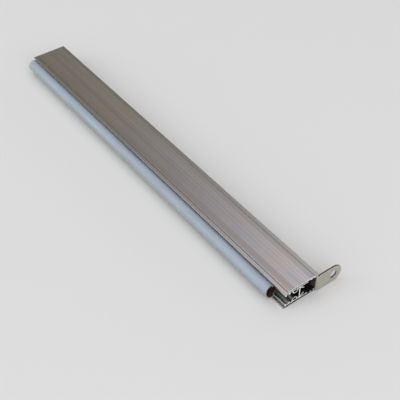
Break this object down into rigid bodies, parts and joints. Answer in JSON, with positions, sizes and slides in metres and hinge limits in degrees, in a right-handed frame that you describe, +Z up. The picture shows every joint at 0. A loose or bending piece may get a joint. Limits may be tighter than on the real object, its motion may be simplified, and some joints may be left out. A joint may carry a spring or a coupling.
{
  "type": "aluminium drop seal profile",
  "caption": "Length of extruded aluminium door-seal stock: U-shaped housing with a sliding carrier inside, a hollow silicone seal along its mouth and a bent steel lug with a screw hole at one end.",
  "frame": {"origin": "centre of the housing's underside, on the floor", "axes": "+X from the mouth to the back of the section, +Y along the stock away from the lug, +Z up"},
  "size_m": [0.0558, 0.3365, 0.015],
  "materials": {
    "housing_aluminium": "mill finish, fine die lines along the length",
    "carrier_aluminium": "mill finish",
    "seal_silicone": "smooth pale grey silicone",
    "lug_steel": "dull rolled stainless strip"
  },
  "bodies": {
    "housing_body": {"housing": "housing_aluminium", "end_lug": "lug_steel"},
    "seal_bar": {"seal_carrier": "carrier_aluminium", "seal": "seal_silicone"}
  },
  "joints": [
    {"name": "seal_drop", "type": "slide", "parent": "housing_body", "child": "seal_bar", "axis": [-1, 0, 0], "range_m": [0, 0.012], "stiffness_N_per_m": 150}
  ]
}
